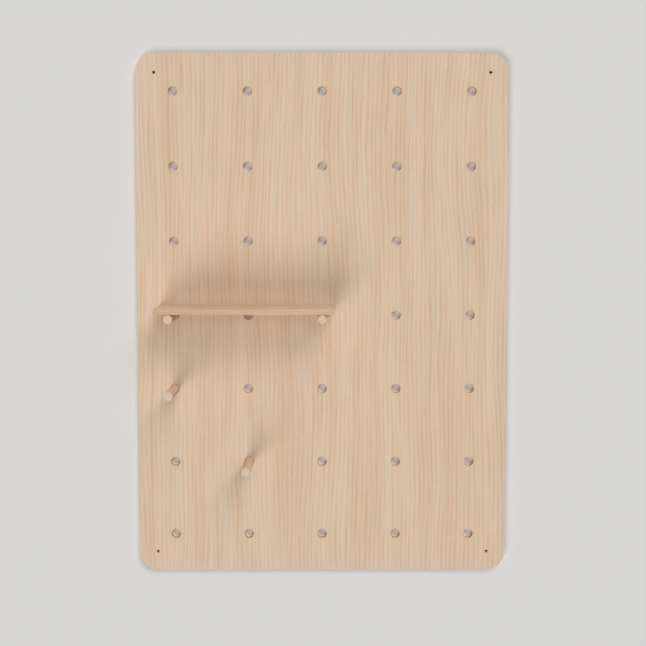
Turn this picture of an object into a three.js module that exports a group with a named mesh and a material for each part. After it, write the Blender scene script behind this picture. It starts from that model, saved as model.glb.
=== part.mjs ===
// Wall pegboard: a drilled wooden board, four loose dowel pegs, and a small shelf that lies
// on two of the pegs. Millimetres, +Z up. The back of the board lies in the plane y = 0, its
// front faces -Y, and the origin is the middle of its back.
import * as THREE from 'three';

// Peg-hole grid, centred on the board
const PITCH = 100;
const COLUMNS = 5;
const ROWS = 7;

// Board, with half a pitch of margin all round the grid
const BOARD_WIDTH = COLUMNS * PITCH;
const BOARD_HEIGHT = ROWS * PITCH;
const BOARD_THICKNESS = 9;
const CORNER_RADIUS = PITCH / 4;
const CORNER_DIVISIONS = 5;

// Pegs, and the holes that they slide in
const PEG_DIAMETER = 12;
const PEG_REACH = 82;
const PEG_CHAMFER = 0.8;
const PEG_SIDES = 32;
const PEG_HOLE_DIAMETER = 12.4;
const PEG_HOLE_SIDES = 32;

// Holes for the wall screws, one in each corner, on the centre of the corner's arc
const SCREW_HOLE_DIAMETER = 4;
const SCREW_HOLE_SIDES = 12;
const SCREW_HOLE_INSET = CORNER_RADIUS;

// Shelf, which ends level with the tips of its pegs
const SHELF_LENGTH = 235;
const SHELF_THICKNESS = 8;
const SHELF_EASE = 0.6;
const SHELF_SHIFT = -1.5;
const RESTING_GAP = 0.3;

// Holes in use, as [column, row] counted from the middle hole, left to right and upwards
const PEG_PLACES = {
  peg_shelf_left: [-2, 0],
  peg_shelf_right: [0, 0],
  peg_middle: [-2, -1],
  peg_lower: [-1, -2],
};

const WOOD = {
  board: { color: 0xd5bda4, roughness: 0.62, metalness: 0 },
  shelf: { color: 0xcdb596, roughness: 0.6, metalness: 0 },
  peg: { color: 0xcfae8a, roughness: 0.55, metalness: 0 },
};

function woodMesh(name, geometry, finish) {
  const mesh = new THREE.Mesh(geometry, new THREE.MeshStandardMaterial(finish));
  mesh.name = name;
  return mesh;
}

// A round hole as a regular polygon whose corners lie on the hole's circle.
function roundHole(x, y, diameter, sides) {
  const corners = [];
  for (let side = 0; side < sides; side += 1) {
    const angle = (2 * Math.PI * side) / sides;
    corners.push(new THREE.Vector2(
      x + (diameter / 2) * Math.cos(angle),
      y + (diameter / 2) * Math.sin(angle),
    ));
  }
  return new THREE.Path(corners);
}

// A rectangle centred on the origin, with its corners rounded.
function roundedRectangle(width, height, radius) {
  const x = width / 2 - radius;
  const y = height / 2 - radius;
  const quarter = Math.PI / 2;
  const outline = new THREE.Shape();
  outline.absarc(x, y, radius, 0, quarter);
  outline.absarc(-x, y, radius, quarter, 2 * quarter);
  outline.absarc(-x, -y, radius, 2 * quarter, 3 * quarter);
  outline.absarc(x, -y, radius, 3 * quarter, 4 * quarter);
  return outline;
}

function drillPegHoles(outline) {
  for (let column = 0; column < COLUMNS; column += 1) {
    for (let row = 0; row < ROWS; row += 1) {
      const x = (column - (COLUMNS - 1) / 2) * PITCH;
      const y = (row - (ROWS - 1) / 2) * PITCH;
      outline.holes.push(roundHole(x, y, PEG_HOLE_DIAMETER, PEG_HOLE_SIDES));
    }
  }
}

function drillScrewHoles(outline) {
  for (const side of [-1, 1]) {
    for (const end of [-1, 1]) {
      const x = side * (BOARD_WIDTH / 2 - SCREW_HOLE_INSET);
      const y = end * (BOARD_HEIGHT / 2 - SCREW_HOLE_INSET);
      outline.holes.push(roundHole(x, y, SCREW_HOLE_DIAMETER, SCREW_HOLE_SIDES));
    }
  }
}

// The outline is drawn flat and pushed out along +Z, so a quarter turn about X stands it up
// with its thickness running from the wall towards -Y.
function makeBoard() {
  const outline = roundedRectangle(BOARD_WIDTH, BOARD_HEIGHT, CORNER_RADIUS);
  drillPegHoles(outline);
  drillScrewHoles(outline);
  const geometry = new THREE.ExtrudeGeometry(outline, {
    depth: BOARD_THICKNESS,
    bevelEnabled: false,
    curveSegments: CORNER_DIVISIONS,
  });
  const board = woodMesh('board', geometry, WOOD.board);
  board.rotation.x = Math.PI / 2;
  return board;
}

// A dowel with chamfered ends. It is turned about the Y axis, with its inner end level with
// the back of the board.
function makePeg(name, column, row) {
  const radius = PEG_DIAMETER / 2;
  const tip = -(BOARD_THICKNESS + PEG_REACH);
  const profile = [
    new THREE.Vector2(0, tip),
    new THREE.Vector2(radius - PEG_CHAMFER, tip),
    new THREE.Vector2(radius, tip + PEG_CHAMFER),
    new THREE.Vector2(radius, -PEG_CHAMFER),
    new THREE.Vector2(radius - PEG_CHAMFER, 0),
    new THREE.Vector2(0, 0),
  ];
  const peg = woodMesh(name, new THREE.LatheGeometry(profile, PEG_SIDES), WOOD.peg);
  peg.position.set(column * PITCH, 0, row * PITCH);
  return peg;
}

// The shelf's end profile is pushed along its length. Its long edges are eased, it lies on
// the two shelf pegs and its back edge is against the board.
function makeShelf() {
  const depth = PEG_REACH - RESTING_GAP;
  const profile = roundedRectangle(SHELF_THICKNESS, depth, SHELF_EASE);
  const geometry = new THREE.ExtrudeGeometry(profile, {
    depth: SHELF_LENGTH,
    bevelEnabled: false,
    curveSegments: 1,
  });
  const shelf = woodMesh('shelf', geometry, WOOD.shelf);
  const [leftColumn, row] = PEG_PLACES.peg_shelf_left;
  const [rightColumn] = PEG_PLACES.peg_shelf_right;
  const middle = ((leftColumn + rightColumn) / 2) * PITCH + SHELF_SHIFT;
  shelf.rotation.y = Math.PI / 2;
  shelf.position.set(
    middle - SHELF_LENGTH / 2,
    -(BOARD_THICKNESS + RESTING_GAP + depth / 2),
    row * PITCH + PEG_DIAMETER / 2 + RESTING_GAP + SHELF_THICKNESS / 2,
  );
  return shelf;
}

const pegboard = new THREE.Group();
pegboard.add(makeBoard());
pegboard.add(makeShelf());
for (const [name, [column, row]] of Object.entries(PEG_PLACES)) {
  pegboard.add(makePeg(name, column, row));
}

export default pegboard;
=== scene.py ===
import math

import bmesh
import bpy
from mathutils import Matrix, Vector


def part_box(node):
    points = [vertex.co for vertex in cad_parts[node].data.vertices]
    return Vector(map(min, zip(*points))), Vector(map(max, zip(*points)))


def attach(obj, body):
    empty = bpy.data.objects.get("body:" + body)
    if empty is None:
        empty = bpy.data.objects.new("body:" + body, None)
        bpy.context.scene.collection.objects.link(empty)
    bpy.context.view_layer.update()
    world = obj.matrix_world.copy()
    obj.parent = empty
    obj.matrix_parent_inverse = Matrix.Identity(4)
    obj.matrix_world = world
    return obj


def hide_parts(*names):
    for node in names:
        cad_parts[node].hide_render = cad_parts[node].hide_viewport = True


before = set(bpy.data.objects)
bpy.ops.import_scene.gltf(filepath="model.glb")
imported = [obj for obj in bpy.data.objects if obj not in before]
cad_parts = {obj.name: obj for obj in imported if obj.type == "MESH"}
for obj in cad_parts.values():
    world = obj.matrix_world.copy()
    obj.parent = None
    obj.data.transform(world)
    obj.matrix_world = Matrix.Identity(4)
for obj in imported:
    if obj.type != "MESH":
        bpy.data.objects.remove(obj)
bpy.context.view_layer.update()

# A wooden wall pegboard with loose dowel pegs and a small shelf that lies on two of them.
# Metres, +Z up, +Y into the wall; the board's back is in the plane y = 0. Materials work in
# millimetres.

BOARD_LOW, BOARD_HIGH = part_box("board")
BOARD_THICKNESS = BOARD_HIGH.y - BOARD_LOW.y
PEG_NODES = ("peg_shelf_left", "peg_shelf_right", "peg_middle", "peg_lower")
MM = 1000.0

# Peg-hole grid, with half a pitch of margin all round it
COLUMNS = 5
ROWS = 7
PITCH = (BOARD_HIGH.x - BOARD_LOW.x) / COLUMNS

# Board details
CORNER_RADIUS = PITCH / 4
PEG_HOLE_RADIUS = 0.0062
SCREW_HOLE_RADIUS = 0.002
EDGE_EASE = 0.0004
EASE_STEPS = 3
CORNER_STEPS = 24
PEG_HOLE_STEPS = 72
SCREW_HOLE_STEPS = 36

# Shelf and peg details
SHELF_EASE = 0.0006
PEG_STEPS = 72
PEG_CHAMFER = 0.0008
PEG_EASE = 0.00025

# Rings of points on a peg's flat ends, as shares of its radius
PEG_END_RINGS = (0.25, 0.5, 0.75)

# Shading and joining of meshes
SMOOTH_ANGLE = math.radians(32)
FLAT_NORMAL = 0.99995
MERGE_DISTANCE = 1e-6

# Camera, with its distance from the board's front
CAMERA_SENSOR_MM = 36.0
CAMERA_LENS_MM = 73.6
CAMERA_DISTANCE = 1.7826
CAMERA_HEIGHT = 0.1313
CAMERA_SIDE = -0.0022
CAMERA_PITCH_DOWN = math.radians(4.55)
CAMERA_TURN_RIGHT = math.radians(0.104)

# Backdrop, and how strongly it lights the scene
WORLD_COLOUR = (0.68, 0.675, 0.665, 1.0)
WORLD_GLOW = 0.03

# Wall, with a dark disc of painted shade behind each of the board's screw holes, for the
# darkness deep in the hole. A ray that reaches it in less than WALL_TOUCH comes from a surface
# that lies against it.
WALL_REACH = 12.0
WALL_GAP = 0.0001
WALL_TOUCH = 0.001
WALL_COLOUR = (0.75, 0.743, 0.73, 1.0)
HOLE_PAINTED_SHADE_COLOUR = (0.19, 0.085, 0.02, 1.0)
HOLE_PAINTED_SHADE_RADIUS = 0.0025


# ---------------------------------------------------------------- camera and light

def make_camera():
    data = bpy.data.cameras.new("camera")
    data.sensor_width = CAMERA_SENSOR_MM
    data.lens = CAMERA_LENS_MM
    camera = bpy.data.objects.new("camera", data)
    bpy.context.scene.collection.objects.link(camera)
    camera.location = (CAMERA_SIDE, BOARD_LOW.y - CAMERA_DISTANCE, CAMERA_HEIGHT)
    camera.rotation_euler = (math.pi / 2 - CAMERA_PITCH_DOWN, 0.0, -CAMERA_TURN_RIGHT)
    bpy.context.scene.camera = camera


def make_sun(name, azimuth, polar, strength, spread):
    """A soft far light. polar is its angle from the board's outward normal, and azimuth is
    measured in the board's plane from +X towards +Z, both in degrees."""
    data = bpy.data.lights.new(name, "SUN")
    data.energy = strength
    data.angle = math.radians(spread)
    light = bpy.data.objects.new(name, data)
    bpy.context.scene.collection.objects.link(light)
    a, p = math.radians(azimuth), math.radians(polar)
    towards = Vector((math.sin(p) * math.cos(a), -math.cos(p), math.sin(p) * math.sin(a)))
    light.rotation_euler = towards.to_track_quat("Z", "Y").to_euler()


def make_lights():
    make_sun("sun_front", azimuth=58, polar=9.5, strength=0.69, spread=33)
    make_sun("sun_upper_right", azimuth=63.4, polar=44, strength=1.22, spread=31)
    make_sun("sun_lower_left", azimuth=240, polar=42, strength=1.57, spread=39)
    make_sun("sun_above", azimuth=90, polar=87, strength=0.38, spread=40)
    make_sun("sun_behind", azimuth=60, polar=140, strength=3.4, spread=60)


def make_world():
    """A pale backdrop all round, which adds only a little light of its own."""
    world = bpy.data.worlds.new("studio")
    world.use_nodes = True
    nodes, links = world.node_tree.nodes, world.node_tree.links
    background = nodes["Background"]
    background.inputs["Color"].default_value = WORLD_COLOUR
    path = nodes.new("ShaderNodeLightPath")
    strength = nodes.new("ShaderNodeMapRange")
    strength.inputs["To Min"].default_value = WORLD_GLOW
    strength.inputs["To Max"].default_value = 1.0
    links.new(path.outputs["Is Camera Ray"], strength.inputs["Value"])
    links.new(strength.outputs[0], background.inputs["Strength"])
    bpy.context.scene.world = world
    bpy.context.scene.view_settings.view_transform = "Standard"


# ---------------------------------------------------------------- shader helpers

class Shader:
    """Adds nodes to one material in short calls. An input is a number, a tuple or a socket."""

    # Places of the colour sockets of a mix node, whose socket names aren't unique
    MIX_A, MIX_B, MIX_RESULT = 6, 7, 2

    def __init__(self, name):
        self.material = bpy.data.materials.new(name)
        self.material.use_nodes = True
        self.tree = self.material.node_tree
        self.bsdf = self.tree.nodes["Principled BSDF"]
        self.output = self.tree.nodes["Material Output"]

    def node(self, kind, **settings):
        made = self.tree.nodes.new(kind)
        for key, value in settings.items():
            setattr(made, key, value)
        return made

    def feed(self, socket, value):
        if isinstance(value, bpy.types.NodeSocket):
            self.tree.links.new(value, socket)
        else:
            socket.default_value = value

    def math(self, operation, a, b=0.0, c=0.0):
        made = self.node("ShaderNodeMath", operation=operation)
        for socket, value in zip(made.inputs, (a, b, c)):
            self.feed(socket, value)
        return made.outputs[0]

    def between(self, value, low, high, out_low=0.0, out_high=1.0, smooth=True):
        """out_low where value is at low, out_high where it is at high, and held outside them."""
        made = self.node("ShaderNodeMapRange")
        made.interpolation_type = "SMOOTHSTEP" if smooth else "LINEAR"
        for socket, given in zip(made.inputs, (value, low, high, out_low, out_high)):
            self.feed(socket, given)
        return made.outputs[0]

    def blend(self, inside, outside, share):
        """A number that is inside where share is 0 and outside where it is 1."""
        return self.math("MULTIPLY_ADD", self.math("SUBTRACT", outside, inside), share, inside)

    def vector(self, x, y, z):
        made = self.node("ShaderNodeCombineXYZ")
        for socket, value in zip(made.inputs, (x, y, z)):
            self.feed(socket, value)
        return made.outputs[0]

    def parts(self, vector):
        made = self.node("ShaderNodeSeparateXYZ")
        self.feed(made.inputs[0], vector)
        return made.outputs

    def length(self, a, b):
        """The length of a flat vector."""
        made = self.node("ShaderNodeVectorMath", operation="LENGTH")
        self.feed(made.inputs[0], self.vector(a, b, 0.0))
        return made.outputs["Value"]

    def noise(self, x, y, z, detail, roughness=0.5):
        """Noise of about one feature per unit of each part, from 0 to 1 about 0.5."""
        made = self.node("ShaderNodeTexNoise")
        self.feed(made.inputs["Vector"], self.vector(x, y, z))
        made.inputs["Scale"].default_value = 1.0
        made.inputs["Detail"].default_value = detail
        made.inputs["Roughness"].default_value = roughness
        return made.outputs["Fac"]

    def mix(self, factor, a, b, blend="MIX"):
        """A mix of two colours."""
        made = self.node("ShaderNodeMix", data_type="RGBA", blend_type=blend)
        self.feed(made.inputs["Factor"], factor)
        self.feed(made.inputs[self.MIX_A], a)
        self.feed(made.inputs[self.MIX_B], b)
        return made.outputs[self.MIX_RESULT]

    def bump(self, height, strength, distance):
        made = self.node("ShaderNodeBump")
        made.inputs["Strength"].default_value = strength
        made.inputs["Distance"].default_value = distance
        self.feed(made.inputs["Height"], height)
        self.feed(self.bsdf.inputs["Normal"], made.outputs[0])

    def place(self):
        """The point's place in the row frame, in millimetres, as three sockets."""
        coordinates = self.node("ShaderNodeTexCoord")
        scaled = self.node("ShaderNodeVectorMath", operation="SCALE")
        self.feed(scaled.inputs[0], coordinates.outputs["Object"])
        scaled.inputs["Scale"].default_value = MM
        return self.parts(scaled.outputs[0])

    def facing(self):
        """The size of each part of the surface normal, as three sockets."""
        geometry = self.node("ShaderNodeNewGeometry")
        absolute = self.node("ShaderNodeVectorMath", operation="ABSOLUTE")
        self.feed(absolute.inputs[0], geometry.outputs["Normal"])
        return self.parts(absolute.outputs[0])


def linear(red, green, blue):
    """An 8-bit screen colour as a shader colour."""
    def channel(value):
        value /= 255.0
        return value / 12.92 if value <= 0.04045 else ((value + 0.055) / 1.055) ** 2.4
    return (channel(red), channel(green), channel(blue), 1.0)


# ---------------------------------------------------------------- outlines

def screw_places():
    """The centres of the corner arcs, as x and z."""
    x, z = BOARD_HIGH.x - CORNER_RADIUS, BOARD_HIGH.z - CORNER_RADIUS
    return [(side * x, end * z) for side in (-1, 1) for end in (-1, 1)]


def ring(x, z, radius, steps):
    turn = 2 * math.pi / steps
    return [(x + radius * math.cos(i * turn), z + radius * math.sin(i * turn))
            for i in range(steps)]


def rounded_outline(half_width, half_height, radius, steps):
    points = []
    for quarter, (side, end) in enumerate(((1, 1), (-1, 1), (-1, -1), (1, -1))):
        for i in range(steps + 1):
            angle = (quarter + i / steps) * math.pi / 2
            points.append((side * (half_width - radius) + radius * math.cos(angle),
                           end * (half_height - radius) + radius * math.sin(angle)))
    return points


# ---------------------------------------------------------------- wall

def wall_material(name, colour):
    """Matt paint, clear from behind, so that the board's back can be seen. It also lets light
    through to a surface that lies against it."""
    shade = Shader(name)
    shade.bsdf.inputs["Base Color"].default_value = colour
    shade.bsdf.inputs["Roughness"].default_value = 0.95
    shade.bsdf.inputs["Specular IOR Level"].default_value = 0.1
    geometry = shade.node("ShaderNodeNewGeometry")
    path = shade.node("ShaderNodeLightPath")
    touching = shade.math("LESS_THAN", path.outputs["Ray Length"], WALL_TOUCH)
    clear = shade.math("MAXIMUM", geometry.outputs["Backfacing"], touching)
    join = shade.node("ShaderNodeMixShader")
    shade.feed(join.inputs[0], clear)
    shade.feed(join.inputs[1], shade.bsdf.outputs[0])
    shade.feed(join.inputs[2], shade.node("ShaderNodeBsdfTransparent").outputs[0])
    shade.feed(shade.output.inputs["Surface"], join.outputs[0])
    return shade.material


def add_wall_part(name, outline, y, material):
    """A flat piece of the wall, from points given anticlockwise as seen from the room."""
    mesh = bpy.data.meshes.new(name)
    mesh.from_pydata([(x, y, z) for x, z in outline], [], [tuple(range(len(outline)))])
    mesh.materials.append(material)
    part = bpy.data.objects.new(name, mesh)
    bpy.context.scene.collection.objects.link(part)


def make_wall():
    reach = WALL_REACH
    corners = [(-reach, -reach), (reach, -reach), (reach, reach), (-reach, reach)]
    add_wall_part("wall", corners, WALL_GAP, wall_material("wall_paint", WALL_COLOUR))
    # Painted shade: a flat dark disc on the wall behind each screw hole, for the hole's dark
    # depth.
    dark = wall_material("wall_painted_hole_shade", HOLE_PAINTED_SHADE_COLOUR)
    for index, (x, z) in enumerate(screw_places()):
        outline = ring(x, z, HOLE_PAINTED_SHADE_RADIUS, SCREW_HOLE_STEPS)
        add_wall_part("wall_plug_hole_%d" % index, outline, WALL_GAP / 2, dark)


# ---------------------------------------------------------------- wood

# The wood's palest and darkest colour, and the two tints that it varies between
PALE = linear(231.5, 213, 192.5)
DARK = linear(214.5, 180, 145.5)
PINK = (1.036, 0.996, 0.968, 1.0)
YELLOW = (0.964, 1.004, 1.018, 1.0)

# What each kind of surface multiplies the wood's colour by. The bores' value is painted warm
# shade, and the shelf's top and underside and the pegs' sides get painted light; the others
# are the wood's own tones.
PLAIN = (1.0, 1.0, 1.0, 1.0)
BORE_PAINTED_WARM_SHADE = (1.05, 0.95, 0.82, 1.0)
SHELF_FACE_PAINTED_LIGHT = (1.09, 1.12, 1.14, 1.0)
SHELF_EDGE_TONE = (0.91, 0.85, 0.75, 1.0)
SHELF_END_TONE = (1.02, 0.94, 0.86, 1.0)
PEG_SIDE_PAINTED_LIGHT = (1.15, 1.13, 1.12, 1.0)
PEG_TIP_TONE = (0.99, 1.03, 1.06, 1.0)

# How much each part of the grain darkens the wood
BASE_DARK = -0.245
LINE_DARK = 0.5
PORE_DARK = 0.22
FIBRE_DARK = 0.36
BROAD_DARK = 0.85

# Growth lines: the power that narrows them, how far noise shifts them along their wave, in
# radians, and how strong they are where they fade most
LINE_SHARPNESS = 3.0
LINE_UNEVENNESS = 9.0
FAINTEST_LINE = 0.2

# The range that most noise lies in
NOISE_LOW, NOISE_HIGH = 0.3, 0.7

# Oiled surface: its roughness from trough to ridge of the fibres, and their height in metres
SMOOTHEST, ROUGHEST = 0.52, 0.68
SHEEN = 0.3
FIBRE_RELIEF = 0.00006
RELIEF_STRENGTH = 0.35

# How far a surface faces along an axis, where it starts to count as facing it and where it
# does so fully. A peg's chamfer, at 45 degrees, still counts as its side.
FACING_START, FACING_FULL = 0.6, 0.75
TIP_START, TIP_FULL = 0.8, 0.95

# Plies: their thickness in millimetres, and how softly they meet and how wide their glue
# lines are, both as heights of a sine wave through the board
PLY_THICKNESS = 1.35
PLY_BLEND = 0.35
GLUE_WIDTH = 0.22

# How dark glue lines and plies are, and how much a ply varies
GLUE_DARK = 0.25
ACROSS_DARK, ACROSS_VARIATION = 0.45, 0.6
ALONG_DARK, ALONG_VARIATION = -0.1, 0.8

# How much each part of the end grain darkens the wood
END_DARK = -0.6
END_RING_DARK = 0.8
END_PORE_DARK = 0.7
END_PATCH_DARK = 0.7

# How far apart the front and back sheets are in the tree, and the darker rim that pegs rub
# round each hole, in millimetres
SHEET_SHIFT = 700.0
RIM_WIDTH = 1.2
RIM_DARK = 0.22
BORE_MARGIN = 0.5

# The middle of the tree as seen from the shelf's low corner, towards +Y and +Z, and how far
# it is from a peg's axis, in millimetres
SHELF_PITH_Y, SHELF_PITH_Z = 55.0, -90.0
PEG_PITH = 19.0

# The shelf's wood has stronger grain than the board's
SHELF_GRAIN_CONTRAST = 1.8
SHELF_GRAIN_DARK = -0.4


def grain(shade, rings, side, along, seed, spacing=6.0, wander=2.2):
    """Growth lines about spacing mm apart, which run along the grain and drift a little from
    side to side. rings is the distance across the growth lines, side the other distance
    across the grain, all in mm. Returns how dark the wood is, how pink rather than yellow,
    and its fibres' height, each about 0 to 1."""
    def streaks(base, width, length, offset, detail, roughness=0.5):
        return shade.noise(shade.math("MULTIPLY_ADD", base, 1 / width, seed + offset),
                           shade.math("MULTIPLY", side, 1 / (4 * width)),
                           shade.math("MULTIPLY", along, 1 / length), detail, roughness)

    def centred(noise, size):
        return shade.math("MULTIPLY_ADD", noise, size, -size / 2)

    drift = streaks(rings, width=150, length=420, offset=0.0, detail=1)
    waver = streaks(rings, width=30, length=70, offset=1.7, detail=2)
    shift = shade.math("ADD", centred(drift, 16 * wander), centred(waver, wander))
    bent = shade.math("ADD", rings, shift)

    uneven = streaks(bent, width=1.8 * spacing, length=120, offset=7.3, detail=2)
    phase = shade.math("ADD", shade.math("MULTIPLY", bent, 2 * math.pi / spacing),
                       shade.math("MULTIPLY", uneven, LINE_UNEVENNESS))
    wave = shade.math("MULTIPLY_ADD", shade.math("SINE", phase), 0.5, 0.5)
    fading = streaks(bent, width=1.5 * spacing, length=70, offset=3.1, detail=2)
    strength = shade.between(fading, NOISE_LOW, NOISE_HIGH, FAINTEST_LINE, 1.0)
    line = shade.math("MULTIPLY", shade.math("POWER", wave, LINE_SHARPNESS), strength)

    fibre = streaks(bent, width=1.25, length=11, offset=11.9, detail=3, roughness=0.65)
    broad = streaks(bent, width=20, length=380, offset=5.7, detail=3, roughness=0.6)
    pores = streaks(bent, width=0.42, length=7, offset=31.0, detail=2, roughness=0.6)
    dark = shade.math("MULTIPLY_ADD", line, LINE_DARK, BASE_DARK)
    dark = shade.math("MULTIPLY_ADD", pores, PORE_DARK, dark)
    dark = shade.math("MULTIPLY_ADD", fibre, FIBRE_DARK, dark)
    dark = shade.math("MULTIPLY_ADD", broad, BROAD_DARK, dark)

    hue = streaks(bent, width=4.5, length=34, offset=21.0, detail=2)
    surface = shade.math("MULTIPLY", shade.math("ADD", fibre, pores), 0.5)
    return dark, hue, surface


def rings_about(shade, a, b, pith_a, pith_b):
    """The distance of a point from the middle of the tree, whose place is given in mm."""
    return shade.length(shade.math("SUBTRACT", a, pith_a), shade.math("SUBTRACT", b, pith_b))


def end_grain(shade, a, b, along, dark, seed):
    """How dark the cut ends of the fibres are: the growth rings stay, with fine pores and
    patches over them."""
    def speckle(per_mm, detail, roughness):
        return shade.noise(shade.math("MULTIPLY_ADD", a, per_mm, seed),
                           shade.math("MULTIPLY", b, per_mm),
                           shade.math("MULTIPLY", along, per_mm), detail, roughness)

    pores = speckle(per_mm=2.6, detail=3.0, roughness=0.7)
    patches = speckle(per_mm=0.3, detail=2.0, roughness=0.6)
    cut = shade.math("MULTIPLY_ADD", dark, END_RING_DARK, END_DARK)
    cut = shade.math("MULTIPLY_ADD", pores, END_PORE_DARK, cut)
    return shade.math("MULTIPLY_ADD", patches, END_PATCH_DARK, cut)


def ply_layers(shade, depth, edge_a, edge_b, thickness, seed):
    """The plies that an edge shows: pale ones with their grain along the edge between darker
    ones cut across, with a thin glue line where they meet."""
    def speckle(per_mm, deep_per_mm, roughness):
        return shade.noise(shade.math("MULTIPLY_ADD", edge_a, per_mm, seed),
                           shade.math("MULTIPLY", depth, deep_per_mm),
                           shade.math("MULTIPLY", edge_b, per_mm), 3, roughness)

    ply = thickness / round(thickness / PLY_THICKNESS)
    wave = shade.math("SINE", shade.math("MULTIPLY", depth, math.pi / ply))
    layer = shade.between(wave, -PLY_BLEND, PLY_BLEND)
    glue = shade.between(shade.math("ABSOLUTE", wave), GLUE_WIDTH, 0.0)
    cut_across = speckle(per_mm=1.1, deep_per_mm=2.6, roughness=0.7)
    cut_across = shade.math("MULTIPLY_ADD", cut_across, ACROSS_VARIATION, ACROSS_DARK)
    cut_along = speckle(per_mm=1 / 24, deep_per_mm=1.9, roughness=0.5)
    cut_along = shade.math("MULTIPLY_ADD", cut_along, ALONG_VARIATION, ALONG_DARK)
    return shade.math("MULTIPLY_ADD", glue, GLUE_DARK, shade.blend(cut_along, cut_across, layer))


def finish_wood(shade, dark, hue, tone_and_painted_light, fibre):
    """Colours and oils the wood, multiplying in each surface's own tone and its painted light
    or shade, and returns its material.
    """
    base = shade.mix(shade.between(dark, 0.0, 1.0, smooth=False), PALE, DARK)
    tint = shade.mix(shade.between(hue, NOISE_LOW, NOISE_HIGH, smooth=False), YELLOW, PINK)
    colour = shade.mix(1.0, base, tint, blend="MULTIPLY")
    shade.feed(shade.bsdf.inputs["Base Color"], shade.mix(1.0, colour, tone_and_painted_light, blend="MULTIPLY"))
    roughness = shade.between(fibre, NOISE_LOW, NOISE_HIGH, SMOOTHEST, ROUGHEST)
    shade.feed(shade.bsdf.inputs["Roughness"], roughness)
    shade.bsdf.inputs["Specular IOR Level"].default_value = SHEEN
    shade.bump(fibre, RELIEF_STRENGTH, FIBRE_RELIEF)
    return shade.material


def board_material():
    """Plywood: straight grain up both faces, and plies on the edges and in the holes."""
    shade = Shader("board_wood")
    x, y, z = shade.place()
    thickness = BOARD_THICKNESS * MM
    back_half = shade.math("GREATER_THAN", y, -thickness / 2)
    sheet = shade.math("MULTIPLY_ADD", back_half, SHEET_SHIFT, x)
    dark, hue, fibre = grain(shade, sheet, y, z, seed=2.0)
    edge_a, edge_b = shade.math("ADD", x, z), shade.math("SUBTRACT", x, z)
    plies = ply_layers(shade, y, edge_a, edge_b, thickness, seed=4.0)
    on_edge = shade.between(shade.facing()[1], FACING_FULL, FACING_START)
    dark = shade.blend(dark, plies, on_edge)

    half_pitch = PITCH * MM / 2
    hole_radius = PEG_HOLE_RADIUS * MM
    from_hole = shade.length(shade.math("WRAP", x, half_pitch, -half_pitch),
                             shade.math("WRAP", z, half_pitch, -half_pitch))
    rubbed = shade.between(from_hole, hole_radius + RIM_WIDTH, hole_radius)
    dark = shade.math("MULTIPLY_ADD", rubbed, RIM_DARK, dark)
    # Painted warm shade: the walls of the peg holes get a warmer colour that stands in for the
    # light bounced round inside them.
    near_hole = shade.math("LESS_THAN", from_hole, hole_radius + BORE_MARGIN)
    tone_and_painted_light = shade.mix(shade.math("MULTIPLY", on_edge, near_hole), PLAIN, BORE_PAINTED_WARM_SHADE)
    return finish_wood(shade, dark, hue, tone_and_painted_light, fibre)


def shelf_material():
    """Solid wood cut from near the side of a log, with its grain along the shelf."""
    shade = Shader("shelf_wood")
    x, y, z = shade.place()
    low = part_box("shelf")[0] * MM
    rings = rings_about(shade, y, z, low.y + SHELF_PITH_Y, low.z + SHELF_PITH_Z)
    dark, hue, fibre = grain(shade, rings, y, x, seed=9.0, spacing=2.8, wander=2.4)
    dark = shade.math("MULTIPLY_ADD", dark, SHELF_GRAIN_CONTRAST, SHELF_GRAIN_DARK)
    facing_x, _, facing_z = shade.facing()
    on_end = shade.between(facing_x, FACING_START, FACING_FULL)
    on_face = shade.between(facing_z, FACING_START, FACING_FULL)
    dark = shade.blend(dark, end_grain(shade, y, z, x, dark, seed=6.0), on_end)
    tone_and_painted_light = shade.mix(on_end, SHELF_EDGE_TONE, SHELF_END_TONE)
    # Painted light: the shelf's top and underside are made paler than its edges.
    tone_and_painted_light = shade.mix(on_face, tone_and_painted_light, SHELF_FACE_PAINTED_LIGHT)
    return finish_wood(shade, dark, hue, tone_and_painted_light, fibre)


def peg_material(node, seed):
    """A dowel: straight grain along its sides, and rings and pores on its sawn ends. The seed
    also says which way the middle of the tree is."""
    shade = Shader(node + "_wood")
    x, y, z = shade.place()
    low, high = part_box(node)
    centre = (low + high) / 2 * MM
    pith_x = centre.x + PEG_PITH * math.cos(seed)
    pith_z = centre.z + PEG_PITH * math.sin(seed)
    rings = rings_about(shade, x, z, pith_x, pith_z)
    dark, hue, fibre = grain(shade, rings, x, y, seed=seed, spacing=2.2, wander=0.8)
    on_end = shade.between(shade.facing()[1], TIP_START, TIP_FULL)
    dark = shade.blend(dark, end_grain(shade, x, z, y, dark, seed), on_end)
    # Painted light: the peg's sides are made paler and warmer than its tips.
    tone_and_painted_light = shade.mix(on_end, PEG_SIDE_PAINTED_LIGHT, PEG_TIP_TONE)
    return finish_wood(shade, dark, hue, tone_and_painted_light, fibre)


# ---------------------------------------------------------------- pieces

def add_piece(name, mesh, material, node):
    """Finishes a piece. Its flat faces, which all face along an axis, keep flat shading."""
    mesh.materials.append(material)
    mesh.set_sharp_from_angle(angle=SMOOTH_ANGLE)
    for polygon in mesh.polygons:
        polygon.use_smooth = max(abs(part) for part in polygon.normal) < FLAT_NORMAL
    piece = bpy.data.objects.new(name, mesh)
    bpy.context.scene.collection.objects.link(piece)
    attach(piece, node)
    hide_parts(node)


def add_loop(curve, points):
    spline = curve.splines.new("POLY")
    spline.points.add(len(points) - 1)
    for target, (x, z) in zip(spline.points, points):
        target.co = (x, z, 0.0, 1.0)
    spline.use_cyclic_u = True


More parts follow.
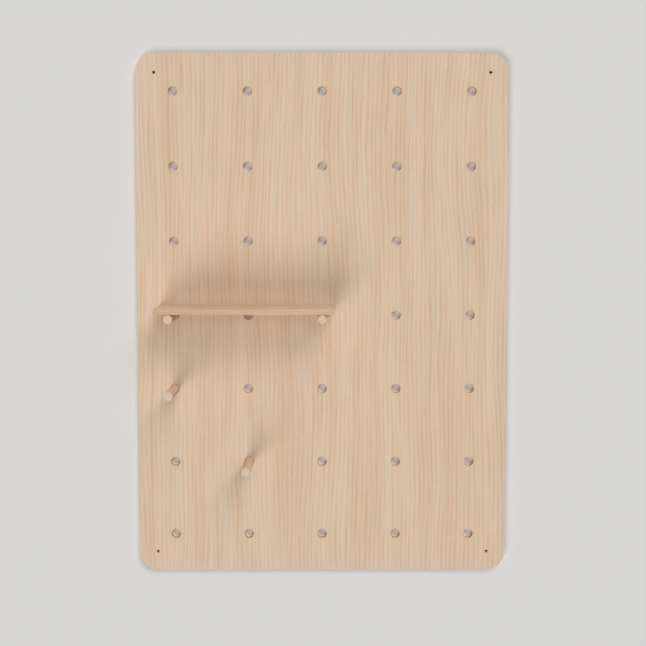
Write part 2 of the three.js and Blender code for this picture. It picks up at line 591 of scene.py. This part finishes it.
def board_curve():
    """The board's outline and holes as one flat filled curve, with every rim eased."""
    curve = bpy.data.curves.new("board_outline", "CURVE")
    curve.dimensions = "2D"
    curve.fill_mode = "BOTH"
    curve.extrude = BOARD_THICKNESS / 2 - EDGE_EASE
    curve.bevel_depth = EDGE_EASE
    curve.bevel_resolution = EASE_STEPS
    curve.offset = -EDGE_EASE
    add_loop(curve, rounded_outline(BOARD_HIGH.x, BOARD_HIGH.z, CORNER_RADIUS, CORNER_STEPS))
    for column in range(COLUMNS):
        for row in range(ROWS):
            x = (column - (COLUMNS - 1) / 2) * PITCH
            z = (row - (ROWS - 1) / 2) * PITCH
            add_loop(curve, ring(x, z, PEG_HOLE_RADIUS, PEG_HOLE_STEPS))
    for x, z in screw_places():
        add_loop(curve, ring(x, z, SCREW_HOLE_RADIUS, SCREW_HOLE_STEPS))
    return curve


def make_board():
    """Turns the board's curve into a closed mesh and stands it up against the wall."""
    curve = board_curve()
    drawn = bpy.data.objects.new("board_outline", curve)
    bpy.context.scene.collection.objects.link(drawn)
    bpy.context.view_layer.update()
    evaluated = drawn.evaluated_get(bpy.context.evaluated_depsgraph_get())
    mesh = bpy.data.meshes.new_from_object(evaluated)
    mesh.name = "board_plywood"
    bpy.data.objects.remove(drawn)
    bpy.data.curves.remove(curve)
    upright = Matrix.Rotation(math.pi / 2, 4, "X")
    mesh.transform(Matrix.Translation((0, (BOARD_LOW.y + BOARD_HIGH.y) / 2, 0)) @ upright)
    closed = bmesh.new()
    closed.from_mesh(mesh)
    bmesh.ops.remove_doubles(closed, verts=closed.verts, dist=MERGE_DISTANCE)
    bmesh.ops.recalc_face_normals(closed, faces=closed.faces)
    closed.to_mesh(mesh)
    closed.free()
    mesh.materials.clear()
    add_piece("board_plywood", mesh, board_material(), "board")


def make_shelf():
    low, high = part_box("shelf")
    shape = bmesh.new()
    bmesh.ops.create_cube(shape, size=1.0)
    for vert in shape.verts:
        vert.co = Vector((low[k] + (vert.co[k] + 0.5) * (high[k] - low[k]) for k in range(3)))
    bmesh.ops.bevel(shape, geom=shape.edges[:], offset=SHELF_EASE, segments=EASE_STEPS,
                    profile=0.5, affect="EDGES")
    mesh = bpy.data.meshes.new("shelf_board")
    shape.to_mesh(mesh)
    shape.free()
    add_piece("shelf_board", mesh, shelf_material(), "shelf")


def peg_profile(radius, half):
    """A peg's outline, as distances from its axis and along it from its middle. Each end is
    flat, with a chamfer that has two eased rims."""
    end = [(radius * share, half) for share in PEG_END_RINGS]
    end.append((radius - PEG_CHAMFER - PEG_EASE, half))
    end.append((radius - PEG_CHAMFER, half - PEG_EASE / 3))
    end.append((radius - PEG_EASE / 3, half - PEG_CHAMFER))
    end.append((radius, half - PEG_CHAMFER - PEG_EASE))
    return end + [(r, -y) for r, y in reversed(end)]


def make_peg(node, seed):
    """A dowel turned about its own axis."""
    low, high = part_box(node)
    centre = (low + high) / 2
    half = (high.y - low.y) / 2
    shape = bmesh.new()
    rings = []
    for radius, y in peg_profile((high.x - low.x) / 2, half):
        rings.append([shape.verts.new((centre.x + x, centre.y + y, centre.z + z))
                      for x, z in ring(0, 0, radius, PEG_STEPS)])
    for here, after in zip(rings, rings[1:]):
        for i in range(PEG_STEPS):
            j = (i + 1) % PEG_STEPS
            shape.faces.new((here[i], here[j], after[j], after[i]))
    for rim, y in ((rings[0], half), (rings[-1], -half)):
        middle = shape.verts.new((centre.x, centre.y + y, centre.z))
        for i in range(PEG_STEPS):
            shape.faces.new((middle, rim[i], rim[(i + 1) % PEG_STEPS]))
    bmesh.ops.recalc_face_normals(shape, faces=shape.faces)
    mesh = bpy.data.meshes.new(node + "_dowel")
    shape.to_mesh(mesh)
    shape.free()
    add_piece(node + "_dowel", mesh, peg_material(node, seed), node)


make_camera()
make_lights()
make_world()
make_wall()
make_board()
make_shelf()
for index, peg_node in enumerate(PEG_NODES):
    make_peg(peg_node, seed=3.0 + 17.0 * index)
